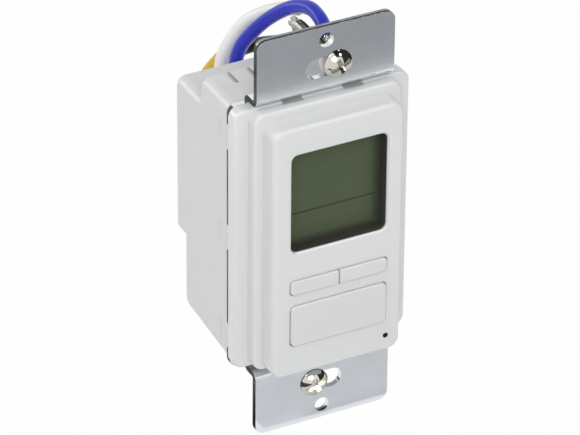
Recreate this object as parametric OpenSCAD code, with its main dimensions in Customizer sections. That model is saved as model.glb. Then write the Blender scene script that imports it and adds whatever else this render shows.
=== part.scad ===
// Programmable timer light switch for a single wall box
// X runs to the right, Y rearward into the wall and Z up; the origin is the
// centre of the wall plane, on which the ears of the mounting strap bear

/* [Mounting strap] */
// Sheet thickness of the strap
strap_t = 1.5; // [1:0.1:2]
// Distance between the two slots for the box screws
slot_spacing = 83.34; // [80:0.01:90]
// Length of a box screw slot
slot_l = 10.1; // [9.6:0.1:14]
// Width of a box screw slot
slot_w = 5; // [4.4:0.1:5.4]
// How far each wall plate hole lies beyond its slot
plate_hole_step = 6.75; // [6:0.05:8]
// Diameter of the wall plate holes
plate_hole_d = 3.6; // [3:0.1:4.4]
// How far each ear reaches beyond its wall plate hole
ear_end = 3.43; // [2.8:0.01:5]
// Width of each ear
ear_w = 34.5; // [26:0.5:38]
// Corner radius of each ear
ear_r = 2.4; // [0.5:0.1:2.6]
// How far the plate lies behind the ears
joggle = 4.5; // [3.6:0.1:6]
// Inside radius of the bends between ear and plate
bend_r = 0.5; // [0.3:0.1:0.8]
// Corner radius of the plate
plate_r = 2.2; // [0.5:0.1:3]
// How far the plate stands out beyond the housing at each side
plate_proud = 0.2; // [0:0.05:0.4]

/* [Bezel] */
// How far the flange stands out beyond the housing at each side
flange_proud = 0.65; // [0.45:0.05:2]
// Distance of the flange's top below the upper slot
flange_room = 7.07; // [6.8:0.01:9]
// Distance of the flange's lower edge above the lower slot
flange_foot_room = 8.27; // [7:0.01:9]
// Thickness of the flange
flange_t = 2.95; // [2.2:0.05:3.6]
// Corner radius of the flange
flange_r = 2.6; // [1.5:0.1:4]
// Width of the ledge beside the middle step
step_ledge = 3.5; // [2.4:0.1:4]
// How far the step's top lies below the flange's top
step_drop = 0.4; // [0.2:0.1:1]
// How far the step stands in front of the flange
step_rise = 3; // [2.4:0.1:4]
// Width of the ledge beside the front panel
panel_ledge = 2.15; // [1:0.05:2.4]
// How far the panel's top lies below the step's top
panel_drop = 2.2; // [1:0.1:3]
// How far the panel stands in front of the step
panel_rise = 5.3; // [4.8:0.1:7]
// Corner radius of the step and the panel
panel_r = 2.8; // [1.5:0.1:4]
// How far each lower edge lies above the one behind it
foot_inset = 0.1; // [0.1:0.1:0.6]
// Wall thickness of the moulding
shell_t = 1.8; // [1.4:0.1:2.2]

/* [Display] */
// How far display and keys sit right of the centre line
controls_x = 0.3; // [-0.4:0.1:0.4]
// Distance of the window from the panel's sides
window_margin = 4.3; // [4.2:0.1:7]
// Distance of the window below the panel's top
window_drop = 7; // [6.6:0.1:9]
// Corner radius of the window
window_r = 1.6; // [0.8:0.1:3]
// How far the lens lies behind the panel's face
lens_recess = 0.5; // [0.2:0.1:0.8]
// Thickness of the lens
lens_t = 2; // [1.8:0.1:2.4]
// Overlap of lens and glass beside the window
lens_lip = 1.1; // [0.8:0.1:1.2]
// Gap between the lens and the liquid crystal glass
display_depth = 2; // [1:0.1:2.2]
// Thickness of the liquid crystal glass
glass_t = 1.8; // [1.4:0.1:2]

/* [Keys] */
// Distance of the small keys from the panel's sides
pair_margin = 4.1; // [3.9:0.1:7]
// Distance of the small keys below the window
pair_space = 7.3; // [7:0.1:9]
// Height of the small keys
pair_h = 3.7; // [3:0.1:4.4]
// Gap between the two small keys
pair_split = 0.3; // [0.3:0.05:1]
// Distance of the large key from the panel's sides
main_margin = 4.2; // [4:0.1:7]
// Distance of the large key below the small ones
main_space = 3; // [2.2:0.1:4]
// Height of the large key
main_h = 10.7; // [8:0.1:12]
// Distance of the large key above the panel's lower edge
main_foot = 8.1; // [7.6:0.1:9]
// How far the keys stand in front of the panel
key_rise = 0.5; // [0.2:0.1:1]
// Travel of the keys
key_travel = 0.5; // [0.3:0.05:0.7]
// Gap round each key in its opening
key_gap = 0.2; // [0.15:0.05:0.35]
// Distance of the reset pinhole from the panel's right side
reset_edge = 3.7; // [3.4:0.1:5]
// Distance of the reset pinhole above the panel's lower edge
reset_foot = 4.1; // [3.6:0.1:4.8]
// Diameter of the reset pinhole
reset_hole_d = 1.3; // [1:0.1:1.5]
// Travel of the reset button
reset_travel = 0.3; // [0.2:0.05:0.5]

/* [Rear housing] */
// Width of the housing at its mouth
housing_w = 42.8; // [40:0.1:50]
// How far the housing's top lies below the flange's top
mouth_drop = 0.1; // [0:0.1:1]
// How far the housing's floor lies below the flange at its mouth
mouth_foot = 0.2; // [0:0.1:1]
// Depth of the taller front part
crown_depth = 13.45; // [12:0.05:15]
// How far the rear part's top lies below the front part's
crown_step = 6.3; // [3:0.1:7]
// Depth of the part below the rear block
foot_depth = 21.45; // [20:0.05:23]
// Height of that part below the rear block
foot_h = 20.7; // [16:0.1:22]
// How far the rear block stands out behind it
block_depth = 5.6; // [4:0.1:10]
// Rise of the floor from the mouth to the back
floor_rise = 2.2; // [0.5:0.1:2.6]
// Corner radius along the housing
housing_r = 2.4; // [1.6:0.1:4]
// Wall thickness of the housing
wall_t = 1.8; // [1.6:0.1:2]

/* [Snap legs] */
// Distance of the outer snap legs from the flange's lower edge
snap_edge = 7.1; // [6.4:0.1:9]
// Width of a snap leg
snap_w = 6.3; // [5:0.1:7]
// Thickness of a snap leg
snap_t = 1.4; // [1.1:0.1:1.6]
// Distance of the snap pockets behind the housing's mouth
snap_reach = 4; // [3.5:0.1:5]
// Length of a snap pocket along the housing
snap_pocket_l = 2; // [1.6:0.1:2.6]
// How far a barb catches in its pocket
snap_hold = 0.7; // [0.4:0.05:0.8]
// Depth of the scoops outside the snap pockets
scoop_d = 0.45; // [0.2:0.05:0.5]

/* [Screws] */
// Thread diameter of the box screws
screw_d = 3.4; // [3.2:0.1:3.6]
// Diameter of the neck under the head
neck_d = 2.9; // [2.5:0.1:3]
// Diameter of the head
head_d = 7; // [6.6:0.1:8]
// Height of the domed head
head_h = 2; // [1.6:0.1:2.6]
// Length of the screw under its head
screw_l = 23.5; // [16:0.5:26]
// Length of the plain point that leads the thread in
pilot_l = 2.5; // [1:0.1:4]
// Diameter of that point
pilot_d = 2.7; // [2:0.1:2.9]
// Diameter of the washer that keeps a screw in its slot
washer_d = 7; // [6.6:0.1:8]
// Thickness of that washer
washer_t = 1; // [0.8:0.1:1.4]
// How far the upper screw stands right of the centre
upper_screw_x = 2.95; // [-3:0.05:3]
// How far the lower screw stands right of the centre
lower_screw_x = -2.1; // [-3:0.05:3]

/* [Circuit boards] */
// Thickness of the two boards
board_t = 1.6; // [1.2:0.1:1.8]
// Distance of the logic board behind the panel's inner face
logic_depth = 5.9; // [5.8:0.05:6.4]
// Distance of the power board behind the housing's mouth
power_depth = 3.45; // [3.2:0.05:4]

/* [Leads] */
// Diameter of a lead over its insulation
lead_d = 3.3; // [3:0.1:3.5]
// Diameter of the bare twisted strands
strand_d = 2.4; // [2:0.1:2.6]
// Length of the stripped end
strip_l = 8; // [6:0.5:9]
// Distance between neighbouring leads where they leave the housing
lead_pitch = 6; // [5:0.1:7]
// Clear width round a lead in its hole
lead_gap = 0.25; // [0.2:0.05:0.4]

/* [Hidden] */
$fn = 48;

// Clearances; past is how far a cut runs beyond what it cuts
seat_gap = 0.05;
run_gap = 0.05;
lay_gap = 0.1;
fit_gap = 0.2;
board_gap = 0.5;
strap_gap = 0.45;
overlap = 0.6;
past = 1;

// Widths and heights of the steps of the bezel, from the back to the front
slot_z = slot_spacing / 2;
plate_w = housing_w + 2 * plate_proud;
flange_w = housing_w + 2 * flange_proud;
step_w = flange_w - 2 * step_ledge;
panel_w = step_w - 2 * panel_ledge;
flange_top = slot_z - flange_room;
step_top = flange_top - step_drop;
panel_top = step_top - panel_drop;
flange_bottom = slot_z - flange_foot_room;
step_bottom = flange_bottom - foot_inset;
panel_bottom = step_bottom - foot_inset;

// Levels along Y, from the front to the back
plate_back_y = joggle;
plate_front_y = joggle - strap_t;
bezel_back_y = plate_front_y - seat_gap;
flange_front_y = bezel_back_y - flange_t;
step_front_y = flange_front_y - step_rise;
panel_front_y = step_front_y - panel_rise;
panel_inner_y = panel_front_y + shell_t;
step_inner_y = step_front_y + shell_t;
housing_front_y = plate_back_y + seat_gap;
crown_y = housing_front_y + crown_depth;
foot_y = housing_front_y + foot_depth;
back_y = foot_y + block_depth;
logic_front_y = panel_inner_y + logic_depth;
logic_back_y = logic_front_y + board_t;
power_front_y = housing_front_y + power_depth;
power_back_y = power_front_y + board_t;

// Front edges of the mouldings
flange_edge = 0.5;
step_edge = 0.6;
panel_edge = 0.9;
window_edge = 0.35;

// Strap
plate_hole_z = slot_z + plate_hole_step;
ear_tip_z = plate_hole_z + ear_end;
web_z = max(flange_top, flange_bottom) + strap_gap;
bend_outer = bend_r + strap_t;
ear_start_z = web_z + bend_outer;
plate_end_z = web_z - bend_r;

// Column of window and keys; the window takes the height that the keys leave
pair_w = panel_w - 2 * pair_margin;
main_w = panel_w - 2 * main_margin;
main_low_z = main_foot - panel_bottom;
main_z = main_low_z + main_h / 2;
pair_z = main_low_z + main_h + main_space + pair_h / 2;
window_w = panel_w - 2 * window_margin;
window_low_z = pair_z + pair_h / 2 + pair_space;
window_high_z = panel_top - window_drop;
window_h = window_high_z - window_low_z;
window_z = (window_low_z + window_high_z) / 2;
reset_x = panel_w / 2 - reset_edge;
reset_z = reset_foot - panel_bottom;

// Display stack
lens_front_y = panel_front_y + lens_recess;
lens_back_y = lens_front_y + lens_t;
glass_front_y = lens_back_y + display_depth;
glass_back_y = glass_front_y + glass_t;
glass_ledge = 2.3;
frame_wall = 0.9;
lens_w = window_w + 2 * lens_lip;
lens_h = window_h + 2 * lens_lip;
glass_w = window_w + 2 * lens_lip;
glass_h = window_h + 2 * glass_ledge;
strip_h = 1.6;

// Keys
pair_r = 1.1;
main_r = 1.3;
key_edge = 0.4;
key_lip = 0.7;
key_lip_t = 0.8;
small_key_w = (pair_w - pair_split) / 2;
small_key_x = (pair_w + pair_split) / 4;
key_front_y = panel_front_y - key_rise;
key_back_y = panel_inner_y + seat_gap + key_lip_t;
switch_side = 6;
switch_h = 3.3;
plunger_d = 3.5;
plunger_sink = 1.3;
plunger_front_y = logic_front_y - switch_h - key_travel - board_gap / 2;
reset_side = 2.8;
reset_switch_h = 2;
reset_d = 1.8;
reset_sink = 0.9;
reset_recess = 0.4;

// Notches in the bezel's upper edge, beside the strap
notch_x = 7.6;
notch_w = 5;
notch_d = 0.9;

// Posts and screws of the logic board, as [x, z]
post_r = 1.5;
pilot_r = 0.8;
board_screw_r = 0.75;
board_screw_head_r = 1.5;
board_screw_head_h = 1.2;
board_screw_l = 4.5;
post_x = window_w / 2 - lay_gap;
post_top_z = window_high_z + glass_ledge + frame_wall + fit_gap + post_r;
post_low_x = main_w / 4;
post_low_z = (main_low_z - key_lip + shell_t - panel_bottom) / 2;
posts = [[-post_x, post_top_z], [post_x, post_top_z], [-post_low_x, post_low_z], [post_low_x, post_low_z]];

// Header between the boards, and its slot in the plate
pin_count = 6;
pin_pitch = 2.54;
pin_side = 0.64;
header_x = -3.5;
header_z = (pair_z + main_z) / 2;
header_w = pin_count * pin_pitch;
header_h = 2.5;
header_t = 2.5;
pin_tail = 0.6;
header_slot_gap = 1.5;

// Controller and crystal behind the display
chip_side = 10;
chip_foot_side = 12;
chip_t = 1.4;
chip_pins = 11;
chip_pitch = 0.8;
chip_pin_w = 0.4;
chip_pin_t = 0.3;
chip_z = window_z;
crystal_l = 8;
crystal_w = 3.2;
crystal_t = 1.6;
crystal_z = chip_z + (chip_foot_side + crystal_w) / 2 + strip_h;

// Housing
housing_top = flange_top - mouth_drop;
housing_bottom = flange_bottom + mouth_foot;
back_top = housing_top - crown_step;
foot_drop = housing_bottom - foot_h;
draft = 0.2;
lip = 0.05;
soft = 0.3;
back_edge = 1.5;
crown_edge = 0.8;
floor_edge = 1;
groove_w = 1.1;
groove_d = 0.5;
groove_l = 5.8;
groove_x = [10.2, 15.2];

// Snap legs and the scoops outside their pockets
snap_pitch = flange_bottom - snap_edge;
snap_rows = [-snap_pitch, 0, snap_pitch];
leg_outer = housing_w / 2 - draft - wall_t - fit_gap;
leg_inner = leg_outer - snap_t;
leg_end_y = housing_front_y + snap_reach + snap_pocket_l + board_gap;
barb_front_y = housing_front_y + snap_reach + lay_gap;
barb_back_y = housing_front_y + snap_reach + snap_pocket_l - lay_gap;
barb_h = fit_gap + snap_hold;
barb_w = snap_w - 2 * overlap;
scoop_reach = 3;
scoop_y = housing_front_y + scoop_reach;
scoop_h = snap_w / 2;
scoop_r = (scoop_h * scoop_h + scoop_d * scoop_d) / (2 * scoop_d);

// Power board on its rails, and what stands on it
rail_w = 3.2;
rail_d = 4;
rail_gap = 3;
rail_z = snap_pitch / 2;
rail_h = snap_pitch - snap_w - 2 * rail_gap;
power_w = 2 * (leg_inner - board_gap);
power_h = 2 * (housing_bottom - floor_rise - wall_t);
power_r = 1;
parts_side = power_w / 2 - rail_w / 2 - strap_gap;
part_r = 1;
part_edge = 0.5;
relay_w = 12.5;
relay_h = 28.5;
relay_d = 15.5;
relay_x = parts_side - relay_w / 2;
relay_z = 8.25;
film_w = 8;
film_h = 18;
film_d = 13;
film_x = film_w / 2 - parts_side;
film_z = 12;
middle_x = (film_x + film_w / 2 + relay_x - relay_w / 2) / 2;
smoothing_most_r = 4;
smoothing_r = min(smoothing_most_r, relay_x - relay_w / 2 - middle_x - strap_gap);
smoothing_l = 12.5;
smoothing_z = 15;
varistor_r = 5;
varistor_t = smoothing_r;
varistor_lift = 1.5;
varistor_wire_r = 0.4;
varistor_wire_z = varistor_r / 2;
backup_r = 5.5;
backup_l = 6;
backup_x = parts_side - backup_r;
backup_z = relay_z - relay_h / 2 - past - backup_r;
rectifier_w = 6.5;
rectifier_h = 7;
rectifier_t = 3.3;
rectifier_x = rectifier_w / 2 - parts_side;
rectifier_z = -4.5;

// Screws
head_y = -strap_t - lay_gap;
washer_y = lay_gap;
thread_y = washer_y + washer_t + lay_gap;
thread_end_y = head_y + screw_l - pilot_l;
drive_w = 1;

// Leads leave the foot's back in a row; each route runs from its own exit
lead_z = -(foot_drop + housing_bottom - floor_rise) / 2;
lead_x = [for (i = [-1.5:1:1.5]) i * lead_pitch];
function from_exit(i, steps) = [for (s = steps) [lead_x[i], foot_y, lead_z] + s];
yellow_route = from_exit(0, [
    [0, 0, 0], [0, 5.4, 0], [-0.1, 10.7, 0.8], [-0.4, 15.6, 2.8], [-0.7, 19.4, 6.6],
    [-0.8, 21.8, 11.3], [-0.5, 23, 16.6], [0.1, 23.6, 21.8], [1.5, 24, 27], [3.3, 25.2, 31.9],
    [6.2, 26.7, 36.2], [10.4, 27.8, 39.2], [15, 30.3, 40.6]]);
black_route = from_exit(1, [
    [0, 0, 0], [0, 5.6, 0], [-0.3, 11.3, -0.4], [-0.8, 16.9, -0.9], [-1.4, 22.4, -0.6],
    [-1.8, 27.6, 1.5], [-1.7, 31.8, 5.3], [-1, 34.4, 10.2], [0.2, 35.5, 15.6], [1.9, 35.7, 20.9],
    [4, 35.6, 26.2], [6.5, 34.5, 31.1], [9.9, 32, 35], [13.5, 29.3, 38.2], [16.7, 25.4, 40.6]]);
white_route = from_exit(2, [
    [0, 0, 0], [0, 5.7, 0], [-0.3, 11.2, 1], [-0.9, 16.2, 3.6], [-1.9, 19.7, 7.8], [-2.9, 21.7, 13],
    [-3.7, 22.5, 18.5], [-4.2, 22.6, 24.1], [-4.4, 22.5, 29.8], [-4.2, 22.6, 35.5],
    [-3.4, 22.7, 41], [-1.4, 21.5, 46.2], [1, 19.4, 50.8], [3.7, 15.9, 54.2], [6.1, 11.5, 56.9],
    [7.8, 6.5, 59]]);
blue_route = from_exit(3, [
    [0, 0, 0], [0, 5.6, 0], [-0.3, 11, 1.1], [-1.3, 15.4, 4.3], [-2.7, 17.9, 9.1],
    [-4.1, 18.1, 14.5], [-5.5, 17.5, 19.9], [-6.8, 17.2, 25.3], [-7.8, 17.4, 30.8],
    [-8.4, 17.6, 36.5], [-8.7, 17.4, 42], [-8.1, 15.7, 47.2], [-6.6, 12.9, 51.8], [-4.8, 9.7, 56],
    [-3.1, 5.8, 59.8], [-1.6, 1.4, 62.9], [-0.7, -3.7, 64.8], [-0.9, -9.2, 64.8],
    [-1.7, -14.5, 63.1]]);

// Rounded rectangle in X and Z, drawn flat
module rounded(w, z0, z1, r, x = 0) {
    union() {
        translate([x - w / 2 + r, z0]) square([w - 2 * r, z1 - z0]);
        translate([x - w / 2, z0 + r]) square([w, z1 - z0 - 2 * r]);
        for (cx = [x - w / 2 + r, x + w / 2 - r], cz = [z0 + r, z1 - r]) translate([cx, cz]) circle(r);
    }
}

// Flat outline in X and Z, given its depth from y0 back to y1
module plate(y0, y1) {
    translate([0, y1, 0]) rotate([90, 0, 0]) linear_extrude(y1 - y0) children();
}

// Box between two corners
module block(low, high) {
    translate(low) cube(high - low);
}

// Round bar along Y
module bar(x, z, y0, y1, r) {
    translate([x, y0, z]) rotate([-90, 0, 0]) cylinder(r = r, h = y1 - y0);
}

// Points of one rounded ring: s is [y, width, low z, high z, corner radius, centre x]
corner_steps = 8;
function ring(s) = [
    for (quarter = [0:3], i = [0:corner_steps])
        let(a = 90 * quarter + 90 * i / corner_steps,
            side_x = (quarter == 0 || quarter == 3) ? 1 : -1,
            cx = s[5] + side_x * (s[1] / 2 - s[4]),
            cz = quarter < 2 ? s[3] - s[4] : s[2] + s[4])
        [cx + s[4] * cos(a), s[0], cz + s[4] * sin(a)]];

// Smooth skin over rings that run from the back to the front
module loft(sections) {
    n = 4 * (corner_steps + 1);
    last = len(sections) - 1;
    sides = [
        for (k = [0:last - 1], j = [0:n - 1])
            let(a = k * n + j, b = k * n + (j + 1) % n)
            each [[a + n, b + n, b], [a + n, b, a]]];
    back = [for (j = [0:n - 1]) j];
    front = [for (j = [n - 1:-1:0]) last * n + j];
    polyhedron([for (s = sections) each ring(s)], concat(sides, [back, front]));
}

// Rings of a rounded edge of radius e; to_front is 1 where the edge faces the front
edge_steps = 4;
function edge_rings(y, w, z0, z1, r, e, x, to_front) = [
    for (k = [0:edge_steps])
        let(a = 90 * (to_front > 0 ? edge_steps - k : k) / edge_steps,
            inset = e * (1 - sin(a)),
            depth = e * (1 - cos(a)))
        [y + to_front * depth, w - 2 * inset, z0 + inset, z1 - inset, r - inset, x]];

// Moulded block with a rounded front edge
module moulding(y_front, y_back, w, z0, z1, r, e, x = 0) {
    loft(concat([[y_back, w, z0, z1, r, x]], edge_rings(y_front, w, z0, z1, r, e, x, 1)));
}

// Round tube through the points of a route, with eight sides
function unit(v) = v / norm(v);
function tangent(p, i) = unit(p[min(i + 1, len(p) - 1)] - p[max(i - 1, 0)]);
function side_of(p, i) =
    let(t = tangent(p, i), before = i == 0 ? [1, 0, 0.2] : side_of(p, i - 1))
    unit(before - (before * t) * t);
tube_sides = 8;
module tube(p, d) {
    last = len(p) - 1;
    points = [
        for (i = [0:last])
            let(t = tangent(p, i), u = side_of(p, i), v = cross(t, u))
            for (j = [0:tube_sides - 1])
                let(a = 360 * j / tube_sides)
                p[i] + d / 2 * (cos(a) * u + sin(a) * v)];
    sides = [
        for (i = [0:last - 1], j = [0:tube_sides - 1])
            let(a = i * tube_sides + j, b = i * tube_sides + (j + 1) % tube_sides)
            each [[a, a + tube_sides, b + tube_sides], [a, b + tube_sides, b]]];
    start = [for (j = [0:tube_sides - 1]) j];
    end = [for (j = [tube_sides - 1:-1:0]) last * tube_sides + j];
    polyhedron(points, concat(sides, [start, end]));
}
function route_end(p) = p[len(p) - 1];
module strands(p) {
    tube([route_end(p), route_end(p) + strip_l * tangent(p, len(p) - 1)], strand_d);
}

// Section through one joggle of the strap, with Y across and Z up
module joggle_section() {
    translate([-strap_t, ear_start_z]) square([strap_t, ear_tip_z - ear_start_z]);
    translate([bend_r, web_z]) square([joggle - strap_t - 2 * bend_r, strap_t]);
    translate([plate_front_y, 0]) square([strap_t, plate_end_z]);
    intersection() {
        translate([bend_r, ear_start_z]) difference() {
            circle(bend_outer);
            circle(bend_r);
        }
        translate([bend_r - bend_outer, ear_start_z - bend_outer]) square(bend_outer);
    }
    intersection() {
        translate([plate_front_y - bend_r, plate_end_z]) difference() {
            circle(bend_outer);
            circle(bend_r);
        }
        translate([plate_front_y - bend_r, plate_end_z]) square(bend_outer);
    }
}

// Pressed steel strap that carries the switch in the wall box
module mounting_strap() {
    color("#aeb2b5") difference() {
        union() {
            for (flip = [0, 1]) mirror([0, 0, flip]) intersection() {
                translate([-ear_w / 2, 0, 0])
                    rotate([90, 0, 90]) linear_extrude(ear_w) joggle_section();
                plate(-strap_t - past, plate_back_y + past)
                    rounded(ear_w, -ear_tip_z, ear_tip_z, ear_r);
            }
            plate(plate_front_y, plate_back_y)
                rounded(plate_w, -plate_end_z + lip, plate_end_z - lip, plate_r);
        }
        for (side = [-1, 1]) {
            bar(0, side * plate_hole_z, -strap_t - past, past, plate_hole_d / 2);
            plate(-strap_t - past, past)
                rounded(slot_l, side * slot_z - slot_w / 2, side * slot_z + slot_w / 2, slot_w / 2 - lip);
            for (z = snap_rows) block(
                [side > 0 ? leg_inner - fit_gap : -plate_w, plate_front_y - past, z - snap_w / 2 - fit_gap],
                [side > 0 ? plate_w : -leg_inner + fit_gap, plate_back_y + past, z + snap_w / 2 + fit_gap]);
        }
        plate(plate_front_y - past, plate_back_y + past) translate([header_x, header_z])
            square([header_w + 2 * header_slot_gap, header_h + 2 * header_slot_gap], center = true);
    }
}

// One snap leg with its barb, at the right side
module snap_leg(z) {
    block([leg_inner, bezel_back_y - overlap, z - snap_w / 2], [leg_outer, leg_end_y, z + snap_w / 2]);
    block([leg_outer - overlap, bezel_back_y - overlap, z - snap_w / 2],
        [plate_w / 2 - lip, plate_back_y - seat_gap, z + snap_w / 2]);
    translate([0, 0, z - barb_w / 2]) linear_extrude(barb_w)
        polygon([[leg_outer - overlap, barb_front_y], [leg_outer + barb_h, barb_front_y],
            [leg_outer, barb_back_y], [leg_outer - overlap, barb_back_y]]);
}

// Stepped shell of the bezel with its window and key openings
module bezel_shell() {
    inner_r = panel_r - shell_t / 2;
    difference() {
        union() {
            moulding(flange_front_y, bezel_back_y, flange_w, -flange_bottom, flange_top, flange_r,
                flange_edge);
            moulding(step_front_y, flange_front_y + overlap, step_w, -step_bottom, step_top, panel_r,
                step_edge);
            moulding(panel_front_y, step_front_y + overlap, panel_w, -panel_bottom, panel_top, panel_r,
                panel_edge);
        }
        plate(panel_inner_y, step_inner_y + overlap)
            rounded(panel_w - 2 * shell_t, shell_t - panel_bottom, panel_top - shell_t, inner_r);
        plate(step_inner_y, bezel_back_y + past)
            rounded(step_w - 2 * shell_t, shell_t - step_bottom, step_top - shell_t, inner_r);
        panel_opening(window_z, window_w, window_h, window_r);
        loft([for (e = [-window_edge, 2 * window_edge])
            [panel_front_y + window_edge - e, window_w + 2 * e, window_z - window_h / 2 - e,
                window_z + window_h / 2 + e, window_r + e, controls_x]]);
        panel_opening(pair_z, pair_w + 2 * key_gap, pair_h + 2 * key_gap, pair_r);
        panel_opening(main_z, main_w + 2 * key_gap, main_h + 2 * key_gap, main_r);
        bar(reset_x, reset_z, panel_front_y - past, panel_inner_y + past, reset_hole_d / 2);
        for (side = [-1, 1]) block(
            [side * notch_x - notch_w / 2, flange_front_y - notch_d, step_top - notch_d],
            [side * notch_x + notch_w / 2, bezel_back_y + past, flange_top + past]);
    }
}
module panel_opening(z, w, h, r) {
    plate(panel_front_y - past, panel_inner_y + past) rounded(w, z - h / 2, z + h / 2, r, controls_x);
}

// Front moulding: the shell, the posts of the logic board and the snap legs
module front_bezel() {
    color("#eeeeec") {
        difference() {
            union() {
                bezel_shell();
                for (p = posts) bar(p[0], p[1], panel_inner_y - overlap, logic_front_y, post_r);
            }
            for (p = posts)
                bar(p[0], p[1], logic_front_y - board_screw_l - overlap, logic_front_y + past, pilot_r);
        }
        for (side = [0, 1], z = snap_rows) mirror([side, 0, 0]) snap_leg(z);
    }
}

// Width and floor of the housing at a depth, with its draft
function housing_wide(y) = housing_w - 2 * draft * (y - housing_front_y) / (back_y - housing_front_y);
function floor_z(y) = -housing_bottom + floor_rise * (y - housing_front_y) / foot_depth;

// Shallow half round scoop in the housing's right side
module scoop(z) {
    intersection() {
        translate([housing_wide(scoop_y) / 2 + scoop_r - scoop_d, scoop_y, z]) sphere(scoop_r);
        block([0, scoop_y, z - 2 * scoop_h], [housing_w, scoop_y + 2 * scoop_h, z + 2 * scoop_h]);
    }
}

// Deep rear moulding that holds the power board
module rear_housing() {
    crown_w = housing_wide(crown_y);
    foot_w = housing_wide(foot_y);
    back_w = housing_wide(back_y);
    r = housing_r;
    cavity_w = back_w - 2 * wall_t;
    color("#ececea") {
        difference() {
            loft(concat(
                edge_rings(back_y, back_w, -foot_drop, back_top - lip, r, back_edge, 0, -1),
                [
                    [foot_y, foot_w - 2 * lip, -foot_drop, back_top - lip, r, 0],
                    [foot_y, foot_w, floor_z(foot_y) + floor_edge, back_top, r, 0],
                    [foot_y - soft * floor_edge, foot_w,
                        floor_z(foot_y) + soft * floor_edge, back_top, r, 0],
                    [foot_y - floor_edge, foot_w, floor_z(foot_y - floor_edge), back_top, r, 0],
                    [crown_y, crown_w - 2 * lip, floor_z(crown_y) + lip, back_top, r, 0],
                    [crown_y, crown_w, floor_z(crown_y), housing_top - crown_edge, r, 0],
                    [crown_y - soft * crown_edge, crown_w, floor_z(crown_y),
                        housing_top - soft * crown_edge, r, 0],
                    [crown_y - crown_edge, crown_w, floor_z(crown_y - crown_edge), housing_top, r, 0],
                    [housing_front_y, housing_w, -housing_bottom, housing_top, r, 0]]));
            block([-cavity_w / 2 - lip, housing_front_y - past, wall_t + floor_z(crown_y)],
                [cavity_w / 2 + lip, crown_y - wall_t, housing_top - wall_t]);
            block([-cavity_w / 2, crown_y - wall_t - past, wall_t + floor_z(foot_y)],
                [cavity_w / 2, foot_y - wall_t, back_top - wall_t]);
            block([lip - cavity_w / 2, foot_y - wall_t - past, wall_t - foot_drop],
                [cavity_w / 2 - lip, back_y - wall_t, back_top - wall_t - lip]);
            for (side = [0, 1], z = snap_rows) mirror([side, 0, 0]) {
                block([leg_outer, barb_front_y - lay_gap, z - barb_w / 2 - fit_gap],
                    [leg_outer + barb_h + lay_gap, barb_back_y + lay_gap, z + barb_w / 2 + fit_gap]);
                scoop(z);
            }
            for (side = [-1, 1], x = groove_x) block(
                [side * x - groove_w / 2, crown_y - groove_l, housing_top - groove_d],
                [side * x + groove_w / 2, crown_y + past, housing_top + past]);
            for (x = lead_x) bar(x, lead_z, foot_y - wall_t - past, foot_y + past, lead_d / 2 + lead_gap);
        }
        for (side = [0, 1], z = [-rail_z, rail_z]) mirror([side, 0, 0])
            block([power_w / 2 - rail_w / 2, power_back_y, z - rail_h / 2],
                [cavity_w / 2 + overlap, power_back_y + rail_d, z + rail_h / 2]);
    }
}

// Clear lens with a lip that sits behind the panel
module display_lens() {
    color("#b9bfae") {
        plate(lens_front_y, lens_back_y)
            rounded(window_w - 2 * lay_gap, window_z - window_h / 2 + lay_gap,
                window_z + window_h / 2 - lay_gap, window_r, controls_x);
        plate(panel_inner_y + seat_gap, lens_back_y)
            rounded(lens_w, window_z - lens_h / 2, window_z + lens_h / 2, window_r, controls_x);
    }
}

// Dark frame between lens and board, which holds the glass
module lcd_frame() {
    frame_w = glass_w + 2 * frame_wall;
    frame_h = glass_h + 2 * frame_wall;
    color("#22251f") difference() {
        plate(lens_back_y + seat_gap, logic_front_y - seat_gap) translate([controls_x, window_z])
            square([frame_w, frame_h], center = true);
        plate(lens_back_y - past, glass_front_y + past) translate([controls_x, window_z])
            square([window_w + 2 * fit_gap, window_h + 2 * fit_gap], center = true);
        plate(glass_front_y, logic_front_y + past) translate([controls_x, window_z])
            square([glass_w + 2 * lay_gap, glass_h + 2 * lay_gap], center = true);
    }
}

// Liquid crystal glass
module lcd_glass() {
    color("#535c44") plate(glass_front_y + seat_gap, glass_back_y) translate([controls_x, window_z])
        square([glass_w, glass_h], center = true);
}

// Reflector between the glass and the board
module lcd_reflector() {
    color("#c9cbbb") plate(glass_back_y + seat_gap, logic_front_y - seat_gap)
        translate([controls_x, window_z])
            square([window_w - 2 * fit_gap, glass_h - 4 * strip_h], center = true);
}

// Two rubber strips that join the glass to the board
module contact_strips() {
    color("#3a3a3c") for (side = [-1, 1])
        plate(glass_back_y, logic_front_y)
            translate([controls_x, window_z + side * (glass_h / 2 - strip_h)])
                square([window_w, strip_h], center = true);
}

// Key cap with a lip behind the panel and a stem to its switch
module key(x, z, w, h, r) {
    lip_front_y = panel_inner_y + seat_gap;
    moulding(key_front_y, lip_front_y + overlap, w, z - h / 2, z + h / 2, r, key_edge, x);
    block([x - w / 2 - key_lip, lip_front_y, z - h / 2 - key_lip],
        [x + w / 2 + key_lip, key_back_y, z + h / 2 + key_lip]);
}
module key_stem(x, z) {
    bar(x, z, key_back_y - overlap / 2, plunger_front_y, plunger_d / 2);
}

module main_key() {
    color("#f1f1ef") {
        key(controls_x, main_z, main_w, main_h, main_r);
        key_stem(controls_x, main_z);
    }
}

// One half of the bar of small keys, cut square at the seam; side is -1 on the left
module small_key(side) {
    x = controls_x + side * small_key_x;
    color("#f1f1ef") {
        intersection() {
            key(controls_x, pair_z, pair_w, pair_h, pair_r);
            block([x - small_key_w / 2 - (side < 0 ? past : 0), key_front_y - past, pair_z - pair_h],
                [x + small_key_w / 2 + (side > 0 ? past : 0), key_back_y + past, pair_z + pair_h]);
        }
        key_stem(x, pair_z);
    }
}
module left_key() {
    small_key(-1);
}
module right_key() {
    small_key(1);
}

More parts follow.
